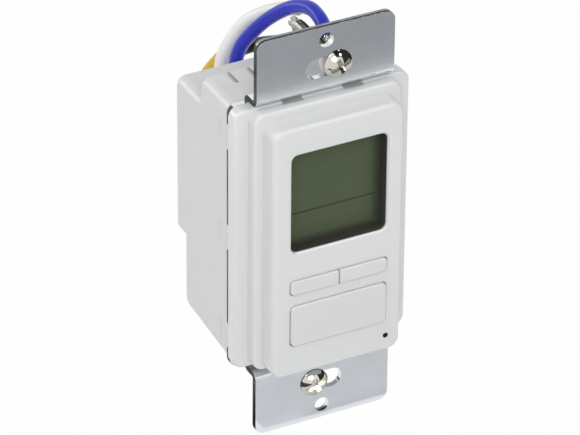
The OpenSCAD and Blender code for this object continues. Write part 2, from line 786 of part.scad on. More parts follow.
// Round plunger of a key switch, which the key's stem presses
module plunger(x, z) {
    color("#2b2b2b") bar(x, z, plunger_front_y, logic_front_y - switch_h + plunger_sink, plunger_d / 2);
}
module main_plunger() {
    plunger(controls_x, main_z);
}
module left_plunger() {
    plunger(controls_x - small_key_x, pair_z);
}
module right_plunger() {
    plunger(controls_x + small_key_x, pair_z);
}

// Thin reset button, reached through the pinhole
module reset_button() {
    color("#d8d8d4") bar(reset_x, reset_z, panel_inner_y + reset_recess,
        logic_front_y - reset_switch_h + reset_sink, reset_d / 2);
}

// Four switch bodies on the logic board, each with the bore of its plunger
module switch_body(x, z, side, h, bore_d, bore_depth) {
    difference() {
        block([x - side / 2, logic_front_y - h, z - side / 2], [x + side / 2, logic_front_y, z + side / 2]);
        bar(x, z, logic_front_y - h - past, logic_front_y - h + bore_depth, bore_d / 2 + run_gap);
    }
}
module key_switches() {
    color("#4a4c50") {
        for (p = [[0, main_z], [-small_key_x, pair_z], [small_key_x, pair_z]])
            switch_body(controls_x + p[0], p[1], switch_side, switch_h, plunger_d,
                plunger_sink + key_travel + fit_gap);
        switch_body(reset_x, reset_z, reset_side, reset_switch_h, reset_d,
            reset_sink + reset_travel + fit_gap);
    }
}

// Square holes of the header pins
module pin_row(y0, y1) {
    for (i = [0:pin_count - 1]) {
        x = header_x + (i - (pin_count - 1) / 2) * pin_pitch;
        block([x - pin_side / 2, y0, header_z - pin_side / 2],
            [x + pin_side / 2, y1, header_z + pin_side / 2]);
    }
}

// Board behind the panel, with the display, the keys and the controller
module logic_board() {
    color("#2f6b45") difference() {
        plate(logic_front_y, logic_back_y)
            rounded(step_w - 2 * (shell_t + board_gap), shell_t + board_gap - step_bottom,
                step_top - shell_t - board_gap, panel_r / 2);
        for (p = posts) bar(p[0], p[1], logic_front_y - past, logic_back_y + past, board_screw_r + fit_gap);
        pin_row(logic_front_y - past, logic_back_y + past);
    }
}
module logic_board_screws() {
    color("#a9abad") for (p = posts) {
        bar(p[0], p[1], logic_back_y, logic_back_y + board_screw_head_h, board_screw_head_r);
        bar(p[0], p[1], logic_front_y - board_screw_l, logic_back_y + overlap, board_screw_r);
    }
}
module controller_chip() {
    pin_out = (chip_pins - 1) / 2;
    color("#202124") translate([0, logic_back_y, chip_z]) {
        block([-chip_side / 2, 0, -chip_side / 2], [chip_side / 2, chip_t, chip_side / 2]);
        for (turn = [0:3], i = [-pin_out:pin_out]) rotate([0, 90 * turn, 0])
            block([chip_side / 2 - lip, 0, i * chip_pitch - chip_pin_w / 2],
                [chip_foot_side / 2, chip_pin_t, i * chip_pitch + chip_pin_w / 2]);
    }
}
module clock_crystal() {
    color("#b7babd") plate(logic_back_y, logic_back_y + crystal_t)
        rounded(crystal_l, crystal_z - crystal_w / 2, crystal_z + crystal_w / 2, crystal_w / 2 - lip);
}

// Pins, header and socket that join the two boards through the strap
module header_pins() {
    color("#c2a35a") pin_row(logic_front_y - pin_tail, power_back_y + pin_tail);
}
module header_block(y0, y1) {
    difference() {
        block([header_x - header_w / 2, y0, header_z - header_h / 2],
            [header_x + header_w / 2, y1, header_z + header_h / 2]);
        pin_row(y0 - past, y1 + past);
    }
}
module header_body() {
    color("#26272a") header_block(logic_back_y, logic_back_y + header_t);
}
module header_socket() {
    color("#34363a") header_block(logic_back_y + header_t, power_front_y);
}

// Board in the housing, which switches the load
module power_board() {
    color("#2f6b45") difference() {
        plate(power_front_y, power_back_y) rounded(power_w, -power_h / 2, power_h / 2, power_r);
        pin_row(power_front_y - past, power_back_y + past);
    }
}

// Block with rounded edges that stands on the power board
module board_part(x, z, w, h, d) {
    moulding(power_back_y, power_back_y + d, w, z - h / 2, z + h / 2, part_r, part_edge, x);
}
module relay() {
    color("#2c3a57") board_part(relay_x, relay_z, relay_w, relay_h, relay_d);
}
module film_capacitor() {
    color("#b08a3c") board_part(film_x, film_z, film_w, film_h, film_d);
}
module smoothing_capacitor() {
    color("#25304a") bar(middle_x, smoothing_z, power_back_y, power_back_y + smoothing_l, smoothing_r);
}
module backup_capacitor() {
    color("#3c3f44") bar(backup_x, backup_z, power_back_y, power_back_y + backup_l, backup_r);
}
module varistor() {
    disc_y = power_back_y + varistor_lift + varistor_r;
    color("#356a8a") {
        translate([middle_x - varistor_t / 2, disc_y, 0]) rotate([0, 90, 0])
            cylinder(r = varistor_r, h = varistor_t);
        for (z = [-varistor_wire_z, varistor_wire_z])
            bar(middle_x, z, power_back_y, disc_y - varistor_r / 2, varistor_wire_r);
    }
}
module rectifier() {
    color("#232427") block([rectifier_x - rectifier_w / 2, power_back_y, rectifier_z - rectifier_h / 2],
        [rectifier_x + rectifier_w / 2, power_back_y + rectifier_t, rectifier_z + rectifier_h / 2]);
}

// Domed box screw with a slot and a cross in its head
module box_screw(x, z) {
    dome_r = (head_h * head_h + head_d * head_d / 4) / (2 * head_h);
    color("#b5b0a6") translate([x, 0, z]) {
        difference() {
            translate([0, head_y, 0]) rotate([90, 0, 0]) intersection() {
                cylinder(d = head_d, h = head_h);
                translate([0, 0, head_h - dome_r]) sphere(dome_r);
            }
            block([-head_d, head_y - head_h - past, -drive_w / 2],
                [head_d, head_y - head_h / 2, drive_w / 2]);
            block([-drive_w / 2, head_y - head_h - past, -head_d / 3],
                [drive_w / 2, head_y - head_h / 3, head_d / 3]);
            block([-head_d / 3, head_y - head_h - past, -drive_w / 2 - lip],
                [head_d / 3, head_y - head_h / 3, drive_w / 2 + lip]);
        }
        bar(0, 0, head_y - lip, thread_y + lip, neck_d / 2);
        bar(0, 0, thread_y, thread_end_y, screw_d / 2);
        bar(0, 0, thread_end_y - lip, head_y + screw_l, pilot_d / 2);
    }
}
module upper_screw() {
    box_screw(upper_screw_x, slot_z);
}
module lower_screw() {
    box_screw(lower_screw_x, -slot_z);
}

// Fibre washer that keeps a screw in its slot
module keeper_washer(x, z) {
    color("#c8c2b4") difference() {
        bar(x, z, washer_y, washer_y + washer_t, washer_d / 2);
        bar(x, z, washer_y - past, washer_y + washer_t + past, neck_d / 2 + run_gap);
    }
}
module upper_washer() {
    keeper_washer(upper_screw_x, slot_z);
}
module lower_washer() {
    keeper_washer(lower_screw_x, -slot_z);
}

// Leads: short tails from the power board, then the free stretches
module lead_tails() {
    color("#8a8a88") for (x = lead_x) bar(x, lead_z, power_back_y, foot_y, lead_d / 2);
}
module yellow_lead() {
    color("#dcb432") tube(yellow_route, lead_d);
}
module black_lead() {
    color("#1c1c1e") tube(black_route, lead_d);
}
module white_lead() {
    color("#e6e6e1") tube(white_route, lead_d);
}
module blue_lead() {
    color("#2329a0") tube(blue_route, lead_d);
}
module yellow_strands() {
    color("#c9c6bd") strands(yellow_route);
}
module black_strands() {
    color("#c9c6bd") strands(black_route);
}
module white_strands() {
    color("#c9c6bd") strands(white_route);
}
module blue_strands() {
    color("#c9c6bd") strands(blue_route);
}

mounting_strap();
front_bezel();
rear_housing();
display_lens();
lcd_frame();
lcd_glass();
lcd_reflector();
contact_strips();
main_key();
left_key();
right_key();
reset_button();
main_plunger();
left_plunger();
right_plunger();
key_switches();
logic_board();
logic_board_screws();
controller_chip();
clock_crystal();
header_pins();
header_body();
header_socket();
power_board();
relay();
film_capacitor();
smoothing_capacitor();
backup_capacitor();
varistor();
rectifier();
upper_screw();
lower_screw();
upper_washer();
lower_washer();
lead_tails();
yellow_lead();
black_lead();
white_lead();
blue_lead();
yellow_strands();
black_strands();
white_strands();
blue_strands();
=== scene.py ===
# %% [markdown]
# # Dressing a timer light switch
# The object is a programmable light switch for a wall box: a stepped white
# front with a display and three keys, a pressed steel strap, a deep white
# housing behind the wall and four coloured leads. The solids come from a CAD
# program, so this lesson adds what those lack: soft edges, surface finish,
# leads with twisted strands, light and a camera. All lengths are in metres.

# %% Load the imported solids
import math

import bmesh
import bpy
from mathutils import Matrix, Vector


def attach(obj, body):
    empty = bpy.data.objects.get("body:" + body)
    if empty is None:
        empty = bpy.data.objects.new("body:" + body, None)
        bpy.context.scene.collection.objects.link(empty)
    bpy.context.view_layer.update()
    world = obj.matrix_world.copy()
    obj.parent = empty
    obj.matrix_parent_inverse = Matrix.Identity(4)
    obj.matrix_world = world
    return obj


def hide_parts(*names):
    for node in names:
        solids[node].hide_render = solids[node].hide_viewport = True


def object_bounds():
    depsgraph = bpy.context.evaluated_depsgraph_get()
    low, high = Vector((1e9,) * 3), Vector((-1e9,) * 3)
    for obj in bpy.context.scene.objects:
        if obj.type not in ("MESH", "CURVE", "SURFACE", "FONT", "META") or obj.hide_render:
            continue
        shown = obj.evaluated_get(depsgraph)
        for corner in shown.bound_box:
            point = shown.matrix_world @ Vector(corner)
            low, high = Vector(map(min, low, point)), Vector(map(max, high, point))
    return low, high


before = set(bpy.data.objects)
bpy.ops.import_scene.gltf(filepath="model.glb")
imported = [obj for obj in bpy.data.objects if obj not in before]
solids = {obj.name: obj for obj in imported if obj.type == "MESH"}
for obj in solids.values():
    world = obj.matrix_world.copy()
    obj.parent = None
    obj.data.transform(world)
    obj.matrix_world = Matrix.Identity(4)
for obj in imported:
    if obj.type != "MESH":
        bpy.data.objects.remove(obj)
cad_box = [list(corner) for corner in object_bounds()]
MM = 0.001


def in_mm(point):
    return [round(value / MM, 2) for value in point]


print(len(solids), "solids, from", in_mm(cad_box[0]), "to", in_mm(cad_box[1]), "mm")

# %% [markdown]
# ## The camera
# The picture was taken from the left and from above with a long lens, which
# keeps upright edges almost parallel. A camera can be turned by Euler angles,
# but building its three axes from azimuth, elevation and roll keeps each
# number readable and lets us correct one of them at a time.

# %% Place the camera
AZIMUTH, ELEVATION, ROLL = (math.radians(angle) for angle in (-27.63, 31.66, 0.49))
AIM = Vector((-6.28, 3.14, 1.60)) * MM
DISTANCE, NEAREST = 0.995, 0.05
LENS_MM, SENSOR_MM = 272.95, 36


def add_object(name, data):
    thing = bpy.data.objects.new(name, data)
    bpy.context.scene.collection.objects.link(thing)
    return thing


flat_ahead = Vector((-math.sin(AZIMUTH), math.cos(AZIMUTH), 0))
ahead = math.cos(ELEVATION) * flat_ahead - math.sin(ELEVATION) * Vector((0, 0, 1))
level = Vector((math.cos(AZIMUTH), math.sin(AZIMUTH), 0))
across = math.cos(ROLL) * level + math.sin(ROLL) * level.cross(ahead)
upward = across.cross(ahead)
facing = Matrix((across, upward, -ahead)).transposed().to_4x4()

camera = add_object("camera", bpy.data.cameras.new("camera"))
camera.matrix_world = Matrix.Translation(AIM - DISTANCE * ahead) @ facing
camera.data.sensor_fit = "HORIZONTAL"
camera.data.sensor_width, camera.data.lens = SENSOR_MM, LENS_MM
camera.data.clip_start = NEAREST
bpy.context.scene.camera = camera
print("camera", DISTANCE, "m from", in_mm(AIM), "mm")

# %% [markdown]
# ## The box screws
# A box screw is headed cold from wire and its thread is rolled on. The solids
# carry it with a plain shank, while the picture shows a polished head with a
# slot and a cross, and a rolled thread behind the upper ear. Spinning a
# profile would give rings, so a grid of points is turned instead: along the
# thread the radius rises and falls with both height and angle, which winds a
# true right-hand helix.

# %% Turn the screws
HEAD_Y, HEAD_R, HEAD_H = -1.6 * MM, 3.5 * MM, 2.0 * MM
FACE_Y = HEAD_Y - HEAD_H
DOME_R = (HEAD_H ** 2 + HEAD_R ** 2) / (2 * HEAD_H)
DOME_SHARE, DOME_RINGS = 0.95, 10
RIM = ((0.09 * MM, 0.02 * MM), (0, 0.1 * MM))  # above the seat, inside the head's radius
NECK_R, ROOT_R, CREST_R, POINT_R = 1.45 * MM, 1.34 * MM, 1.7 * MM, 1.2 * MM
THREAD_FROM, THREAD_TO, POINT_Y = 1.2 * MM, 18.4 * MM, 20.7 * MM
THREAD_LENGTH, THREAD_PITCH = THREAD_TO - THREAD_FROM, 0.794 * MM
RUN_OUT, CHAMFER_H, CHAMFER_R = 0.2 * MM, 0.4 * MM, 0.35 * MM
AROUND, RINGS_A_TURN = 48, 8


def screw_rows():
    lean = DOME_SHARE * math.asin(HEAD_R / DOME_R)
    for i in range(1, DOME_RINGS + 1):
        tilt = lean * i / DOME_RINGS
        yield FACE_Y + DOME_R * (1 - math.cos(tilt)), DOME_R * math.sin(tilt)
    for above, inside in RIM:
        yield HEAD_Y - above, HEAD_R - inside
    yield HEAD_Y, NECK_R
    count = round(RINGS_A_TURN * THREAD_LENGTH / THREAD_PITCH)
    for i in range(count + 1):
        yield THREAD_FROM + THREAD_LENGTH * i / count, ROOT_R
    yield THREAD_TO + RUN_OUT, POINT_R
    yield POINT_Y - CHAMFER_H, POINT_R
    yield POINT_Y, POINT_R - CHAMFER_R


def ridge(y, angle):
    into = min(y - THREAD_FROM, THREAD_TO - y)
    turn = (y / THREAD_PITCH + angle / math.tau) % 1
    return (CREST_R - ROOT_R) * (1 - abs(2 * turn - 1)) * min(max(into / THREAD_PITCH, 0), 1)


def mesh_object(name, shape):
    mesh = bpy.data.meshes.new(name)
    shape.to_mesh(mesh)
    shape.free()
    return add_object(name, mesh)


def turn_screw(name, x, z):
    shape = bmesh.new()
    rings = []
    for y, radius in screw_rows():
        ring = []
        for angle in (math.tau * i / AROUND for i in range(AROUND)):
            r = radius + ridge(y, angle)
            ring.append(shape.verts.new((x + r * math.cos(angle), y, z + r * math.sin(angle))))
        rings.append(ring)
    tips = [shape.verts.new((x, FACE_Y, z)), shape.verts.new((x, POINT_Y, z))]
    for i in range(AROUND):
        j = (i + 1) % AROUND
        shape.faces.new((tips[0], rings[0][j], rings[0][i]))
        shape.faces.new((tips[1], rings[-1][i], rings[-1][j]))
        for near, far in zip(rings, rings[1:]):
            shape.faces.new((near[i], near[j], far[j], far[i]))
    bmesh.ops.recalc_face_normals(shape, faces=shape.faces)
    return mesh_object(name, shape)


screw_places = {"upper": (2.95 * MM, 41.67 * MM), "lower": (-2.1 * MM, -41.67 * MM)}
screws = {end: turn_screw(end + "_turned_screw", *place) for end, place in screw_places.items()}
print(len(screws), "screws of", round(THREAD_LENGTH / THREAD_PITCH, 1), "turns")

# %% [markdown]
# ## The drive in the heads
# The head takes a flat or a cross blade: a slot right across it and a cross
# that gets narrower as it goes down. Both are cut with a boolean, from bars
# whose side view is drawn point by point, and the cut edges are rounded a
# little afterwards, since a punch never leaves them sharp. The two screws
# stopped at nearly the same angle.

# %% Cut slot and cross
DRIVE_TURN = math.radians(22)
DRIVE_W, BAR_ABOVE = 1.15 * MM, 1 * MM
SLOT_HALF, SLOT_DEPTH = 4.2 * MM, 0.95 * MM
CROSS_HALF, CROSS_FOOT, CROSS_DEPTH = 2.3 * MM, 0.8 * MM, 1.5 * MM
CUT_ROUND, HEAD_ONLY = 0.09 * MM, 0.02 * MM
CUT_ANGLE, CREASE_ANGLE = math.radians(40), math.radians(38)


def drive_bar(x, z, turn, half_top, half_bottom, depth):
    along = Vector((math.cos(turn), 0, math.sin(turn)))
    aside = Vector((-math.sin(turn), 0, math.cos(turn))) * DRIVE_W / 2
    corners = [(-half_top, -BAR_ABOVE), (half_top, -BAR_ABOVE), (half_top, 0),
               (half_bottom, depth), (-half_bottom, depth), (-half_top, 0)]
    spine = [Vector((x, FACE_Y + y, z)) + s * along for s, y in corners]
    shape = bmesh.new()
    left, right = ([shape.verts.new(place + side) for place in spine] for side in (aside, -aside))
    shape.faces.new(left)
    shape.faces.new(right)
    for i in range(len(spine)):
        j = (i + 1) % len(spine)
        shape.faces.new((left[i], left[j], right[j], right[i]))
    bmesh.ops.recalc_face_normals(shape, faces=shape.faces)
    return mesh_object("drive bar", shape)


def punch_drive(screw, x, z):
    bars = [drive_bar(x, z, DRIVE_TURN, SLOT_HALF, SLOT_HALF, SLOT_DEPTH),
            drive_bar(x, z, DRIVE_TURN + math.pi / 2, CROSS_HALF, CROSS_FOOT, CROSS_DEPTH)]
    for bar in bars:
        punch = screw.modifiers.new("drive", "BOOLEAN")
        punch.operation, punch.solver, punch.object = "DIFFERENCE", "EXACT", bar
    bpy.context.view_layer.update()
    punched = screw.evaluated_get(bpy.context.evaluated_depsgraph_get())
    screw.data = bpy.data.meshes.new_from_object(punched)
    screw.modifiers.clear()
    for bar in bars:
        bpy.data.objects.remove(bar)


def round_drive(screw):
    shape = bmesh.new()
    shape.from_mesh(screw.data)
    sharp = [edge for edge in shape.edges
             if max(v.co.y for v in edge.verts) < HEAD_Y - HEAD_ONLY
             and edge.is_manifold and edge.calc_face_angle() > CUT_ANGLE]
    bmesh.ops.bevel(shape, geom=sharp, offset=CUT_ROUND, segments=2, affect="EDGES",
                    clamp_overlap=True)
    shape.to_mesh(screw.data)
    shape.free()
    for face in screw.data.polygons:
        face.use_smooth = True
    screw.data.set_sharp_from_angle(angle=CREASE_ANGLE)


for end, screw in screws.items():
    punch_drive(screw, *screw_places[end])
    round_drive(screw)
    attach(screw, end + "_fastener")
    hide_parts(end + "_screw")
    print(end, "screw has", len(screw.data.polygons), "faces")

# %% [markdown]
# ## The leads
# Four stranded copper leads come out of the housing's back in a row. They are
# short and stiff, so they keep the bends that a hand gave them: out, up behind
# the housing and over in a loop. A curve with a round bevel is the natural
# tool. Its handles reach a third of the way to the neighbouring points, which
# gives one smooth line, and the points are counted in millimetres from each
# exit. The bevel is one metre deep and each point's radius scales it down:
# Blender counts that radius in an object's box, so the box then fits the lead.

# %% Draw the four leads
LEAD_D = 3.3 * MM
EXIT_Y, EXIT_Z = 26.0, -22.15
routes = {
    "yellow": (-9, [
        (0, 0, 0), (0, 5, 0), (0, 10, 0.5), (0, 14.7, 2), (0, 19, 4.6), (0.1, 22.3, 8.3),
        (0.3, 24.6, 12.7), (0.7, 26, 17.5), (1.5, 26.7, 22.4), (2.7, 26.9, 27.2),
        (4.5, 26.7, 31.9), (7.2, 26.3, 36.1), (10.7, 25.9, 39.6),
    ]),
    "black": (-3, [
        (0, 0, 0), (0, 5.3, 0), (0, 10.7, -0.2), (0.1, 16, -0.3), (0.4, 21.3, 0.2),
        (0.9, 26.4, 1.6), (1.4, 30.9, 4.5), (2, 33.9, 8.8), (2.6, 35.3, 13.9),
        (3.3, 35.6, 19.1), (4.3, 35.1, 24.4), (5.7, 33.9, 29.4), (7.8, 32, 33.9),
        (10.5, 29.3, 37.5), (13.5, 25.7, 40.1), (15.8, 21.4, 42.2),
    ]),
    "white": (3, [
        (0, 0, 0), (0, 5.7, 0), (-0.3, 11.2, 1), (-0.9, 16.2, 3.6), (-1.9, 19.7, 7.8),
        (-2.9, 21.7, 13), (-3.7, 22.5, 18.5), (-4.2, 22.6, 24.1), (-4.4, 22.5, 29.8),
        (-4.2, 22.6, 35.5), (-3.4, 22.7, 41), (-1.4, 21.5, 46.2), (1, 19.4, 50.8),
        (3.7, 15.9, 54.2), (6.1, 11.5, 56.9), (7.8, 6.5, 59),
    ]),
    "blue": (9, [
        (0, 0, 0), (0, 5.6, 0), (-0.3, 11, 1.1), (-1.3, 15.4, 4.3), (-2.7, 17.9, 9.1),
        (-4.1, 18.1, 14.5), (-5.5, 17.5, 19.9), (-6.8, 17.2, 25.3), (-7.8, 17.4, 30.8),
        (-8.4, 17.6, 36.5), (-8.7, 17.4, 42), (-8.1, 15.7, 47.2), (-6.6, 12.9, 51.8),
        (-4.8, 9.7, 56), (-3.1, 5.8, 59.8), (-1.6, 1.4, 62.9), (-0.7, -3.7, 64.8),
        (-0.9, -9.2, 64.8), (-1.7, -14.5, 63.1),
    ]),
}


def lead_points(colour):
    x, steps = routes[colour]
    return [(Vector((x, EXIT_Y, EXIT_Z)) + Vector(step)) * MM for step in steps]


def round_curve(name, smoothness):
    curve = bpy.data.curves.new(name, "CURVE")
    curve.dimensions = "3D"
    curve.bevel_depth, curve.bevel_resolution = 1, smoothness
    curve.use_fill_caps = True
    return curve


def draw_lead(colour):
    points = lead_points(colour)
    last = len(points) - 1
    curve = round_curve(colour + "_insulation", 6)
    curve.resolution_u = 8
    line = curve.splines.new("BEZIER")
    line.bezier_points.add(last)
    for i, (knot, place) in enumerate(zip(line.bezier_points, points)):
        before, after = points[max(i - 1, 0)], points[min(i + 1, last)]
        handle = (after - before) / (6 if 0 < i < last else 3)
        knot.handle_left_type = knot.handle_right_type = "FREE"
        knot.co, knot.handle_left, knot.handle_right = place, place - handle, place + handle
        knot.radius = LEAD_D / 2
    return add_object(colour + "_insulation", curve), line.calc_length()


leads = {colour: draw_lead(colour) for colour in routes}
for colour, (lead, length) in leads.items():
    print(colour, "lead:", round(length / MM, 1), "mm of insulation")

# %% [markdown]
# ## The bare ends
# Each lead is stripped for 8 mm, and its copper strands, tinned to a silver
# colour, are twisted together. A single rod would look like a pin, so seven
# thin curves are wound instead: one in the middle and six round it, each a
# sixth of a turn further. They start a little inside the insulation and
# droop towards the tip, because soft copper bends under any touch.

# %% Twist the strands
STRIP, TUCKED_IN, STAGGER = 8 * MM, 1.2 * MM, 0.15 * MM
STRAND_R, OUTER_STRANDS, STRAND_STEPS = 0.4 * MM, 6, 28
TURN_LENGTH, DROOP = 7.5 * MM, 2.6 * MM


def twist_strands(colour):
    points = lead_points(colour)
    along = (points[-1] - points[-2]).normalized()
    side = along.orthogonal().normalized()
    other = along.cross(side)
    curve = round_curve(colour + "_bare_end", 3)
    for strand in range(OUTER_STRANDS + 1):
        line = curve.splines.new("POLY")
        line.points.add(STRAND_STEPS)
        reach = 0 if strand == OUTER_STRANDS else 2 * STRAND_R
        start, end = -TUCKED_IN, STRIP - (strand % 3) * STAGGER
        for i, point in enumerate(line.points):
            depth = start + (end - start) * i / STRAND_STEPS
            angle = math.tau * (strand / OUTER_STRANDS + depth / TURN_LENGTH)
            outward = math.cos(angle) * side + math.sin(angle) * other
            place = points[-1] + depth * along + reach * outward
            place.z -= DROOP * (max(depth, 0) / STRIP) ** 2
            point.co, point.radius = (*place, 1), STRAND_R
    return add_object(colour + "_bare_end", curve)


bare_ends = {colour: twist_strands(colour) for colour in routes}
for colour, (lead, length) in leads.items():
    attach(lead, "root")
    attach(bare_ends[colour], "root")
    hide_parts(colour + "_lead")
    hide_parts(colour + "_strands")
print(len(bare_ends), "twisted ends of", round(STRIP / MM, 1), "mm")

# %% [markdown]
# ## A kit for materials
# Real plastic and metal are never one flat colour. Every finish below starts
# from noise in object space, which needs no unwrapping and keeps its scale on
# every piece. Three small helpers turn that noise into colour, roughness and
# bump: colour changes over wide patches, roughness over smaller ones, and the
# bumps are the finest. A value that is the same everywhere goes straight onto
# the shader.

# %% Helpers for finishes
NOISE_LOW, NOISE_HIGH = 0.3, 0.7
COLOUR_PATCH, ROUGH_PATCH = 12, 5
finish_names = []


def start_finish(name):
    finish = bpy.data.materials.new(name)
    finish.use_nodes = True
    finish_names.append(name)
    return finish, finish.node_tree, finish.node_tree.nodes["Principled BSDF"]


def speckle(tree, size, stretch=(1, 1, 1)):
    place = tree.nodes.new("ShaderNodeTexCoord")
    scale = tree.nodes.new("ShaderNodeMapping")
    noise = tree.nodes.new("ShaderNodeTexNoise")
    scale.inputs["Scale"].default_value = stretch
    noise.inputs["Scale"].default_value = 1 / size
    noise.inputs["Detail"].default_value = 3
    tree.links.new(place.outputs["Object"], scale.inputs["Vector"])
    tree.links.new(scale.outputs["Vector"], noise.inputs["Vector"])
    return noise.outputs["Fac"]


def shade_between(tree, value, dark, light):
    ramp = tree.nodes.new("ShaderNodeValToRGB")
    low, high = ramp.color_ramp.elements
    low.position, high.position = NOISE_LOW, NOISE_HIGH
    low.color, high.color = (*dark, 1), (*light, 1)
    tree.links.new(value, ramp.inputs["Fac"])
    return ramp.outputs["Color"]


def number_between(tree, value, low, high):
    spread = tree.nodes.new("ShaderNodeMapRange")
    spread.inputs["From Min"].default_value = NOISE_LOW
    spread.inputs["From Max"].default_value = NOISE_HIGH
    spread.inputs["To Min"].default_value = low
    spread.inputs["To Max"].default_value = high
    tree.links.new(value, spread.inputs["Value"])
    return spread.outputs["Result"]


def raise_bumps(tree, shader, value, height):
    bump = tree.nodes.new("ShaderNodeBump")
    bump.inputs["Distance"].default_value = height
    bump.inputs["Strength"].default_value = 0.6
    tree.links.new(value, bump.inputs["Height"])
    tree.links.new(bump.outputs["Normal"], shader.inputs["Normal"])


def speckled(name, dark, light, rough, size, height, metal=0.0, stretch=(1, 1, 1), gloss=0.5):
    finish, tree, shader = start_finish(name)
    colour = shade_between(tree, speckle(tree, COLOUR_PATCH * size), dark, light)
    roughness = number_between(tree, speckle(tree, ROUGH_PATCH * size, stretch), *rough)
    tree.links.new(colour, shader.inputs["Base Color"])
    tree.links.new(roughness, shader.inputs["Roughness"])
    raise_bumps(tree, shader, speckle(tree, size, stretch), height)
    shader.inputs["Metallic"].default_value = metal
    shader.inputs["Specular IOR Level"].default_value = gloss
    return finish


print("finishes vary where the noise lies between", NOISE_LOW, "and", NOISE_HIGH)

# %% [markdown]
# ## Dark places and painted shade
# Shade in hollows is painted into the colour, a torn edge is darker than a
# rubbed one and a display has a border with a painted shadow beside it. An
# image could paint all that, but it would need unwrapping. Ambient occlusion
# finds the hollows by itself, and the other places are found from object
# coordinates, by a soft fade or a little sum.

# %% Helpers for dark places
FACTOR, AT_ZERO, AT_ONE, MIXED = 0, 6, 7, 2  # a Mix node's sockets when it mixes colours


def darken(finish, amount, dark, dark_end, plain_end):
    tree = finish.node_tree
    base = tree.nodes["Principled BSDF"].inputs["Base Color"]
    blend = tree.nodes.new("ShaderNodeMix")
    blend.data_type = "RGBA"
    blend.inputs[dark_end].default_value = (*dark, 1)
    tree.links.new(amount, blend.inputs[FACTOR])
    tree.links.new(base.links[0].from_socket, blend.inputs[plain_end])
    tree.links.new(blend.outputs[MIXED], base)


# Painted shade: the colour turns dark wherever ambient occlusion finds a hollow.
def paint_shade_in_hollows(finish, reach, dark):
    hollow = finish.node_tree.nodes.new("ShaderNodeAmbientOcclusion")
    hollow.inputs["Distance"].default_value = reach
    darken(finish, hollow.outputs["AO"], dark, dark_end=AT_ZERO, plain_end=AT_ONE)


def darker_where(finish, mask, dark):
    darken(finish, mask, dark, dark_end=AT_ONE, plain_end=AT_ZERO)


def axes(finish):
    tree = finish.node_tree
    place = tree.nodes.new("ShaderNodeTexCoord")
    split = tree.nodes.new("ShaderNodeSeparateXYZ")
    tree.links.new(place.outputs["Object"], split.inputs["Vector"])
    return split.outputs


def fade(finish, value, start, end):
    spread = finish.node_tree.nodes.new("ShaderNodeMapRange")
    spread.interpolation_type = "SMOOTHSTEP"
    spread.inputs["From Min"].default_value = start
    spread.inputs["From Max"].default_value = end
    finish.node_tree.links.new(value, spread.inputs["Value"])
    return spread.outputs["Result"]


def work_out(tree, operation, *values):
    node = tree.nodes.new("ShaderNodeMath")
    node.operation = operation
    for socket, value in zip(node.inputs, values):
        if isinstance(value, float):
            socket.default_value = value
        else:
            tree.links.new(value, socket)
    return node.outputs["Value"]


print("dark places: hollows, faded borders, lines")

# %% [markdown]
# ## White plastics
# The front is a smooth, glossy white moulding; the housing behind the wall
# comes from a spark-eroded mould and is a shade greyer and duller. Both keep
# a very fine mottle. White plastic also lets light seep in for a millimetre or
# two, which lifts its narrow pockets: that is subsurface scattering. The keys
# are moulded apart and a little warmer.

# %% Mix the white plastics
front_white = speckled("front white plastic", (0.796, 0.802, 0.797), (0.804, 0.810, 0.805),
                       (0.19, 0.24), 1.5 * MM, 0.0008 * MM)
rear_white = speckled("rear white plastic", (0.728, 0.730, 0.724), (0.742, 0.744, 0.738),
                      (0.28, 0.34), 0.5 * MM, 0.001 * MM)
key_white = speckled("key white plastic", (0.772, 0.775, 0.763), (0.782, 0.785, 0.774),
                     (0.22, 0.27), 1.5 * MM, 0.0008 * MM)
# Painted shade in the housing's grooves and creases, found by ambient occlusion.
paint_shade_in_hollows(rear_white, 1.6 * MM, (0.16, 0.16, 0.155))
for white in (front_white, key_white):
    glowing = white.node_tree.nodes["Principled BSDF"].inputs
    glowing["Subsurface Weight"].default_value = 0.35
    glowing["Subsurface Radius"].default_value = (1.0, 0.98, 0.88)
    glowing["Subsurface Scale"].default_value = 2 * MM
print("white plastics:", ", ".join(finish_names))

# %% [markdown]
# ## Small parts and insulation
# The parts inside are moulded, dipped or laminated in plain dark plastics; few
# of them show, but each still gets its own mottle. The insulation on the leads
# is extruded, so it is smooth and a little glossy. One call for each finish is
# enough: two colours, two roughnesses, the grain's size and its height.

# %% Mix the small parts' plastics
# This grey is the button's own, and it is also painted shade on the pinhole's wall.
grey_plastic_and_pinhole_shade = speckled("grey button plastic and pinhole shade", (0.034, 0.034, 0.032), (0.046, 0.046, 0.044),
                        (0.45, 0.6), 0.3 * MM, 0.004 * MM)
dark_plastic = speckled("dark frame plastic", (0.036, 0.035, 0.025), (0.046, 0.044, 0.033),
                        (0.45, 0.6), 0.3 * MM, 0.004 * MM)
black_plastic = speckled("black part plastic", (0.016, 0.016, 0.018), (0.03, 0.03, 0.032),
                         (0.4, 0.55), 0.3 * MM, 0.004 * MM)
rubber = speckled("contact rubber", (0.02, 0.02, 0.022), (0.035, 0.035, 0.037),
                  (0.6, 0.75), 0.25 * MM, 0.006 * MM)
fibre = speckled("washer fibre", (0.72, 0.71, 0.67), (0.82, 0.81, 0.77),
                 (0.6, 0.8), 0.25 * MM, 0.01 * MM)
relay_case = speckled("relay case", (0.020, 0.035, 0.085), (0.030, 0.048, 0.11),
                      (0.35, 0.5), 0.3 * MM, 0.004 * MM)
amber_case = speckled("capacitor case", (0.40, 0.24, 0.04), (0.50, 0.31, 0.06),
                      (0.3, 0.42), 0.3 * MM, 0.003 * MM)
sleeve = speckled("capacitor sleeve", (0.015, 0.024, 0.06), (0.024, 0.036, 0.085),
                  (0.28, 0.4), 0.4 * MM, 0.003 * MM)
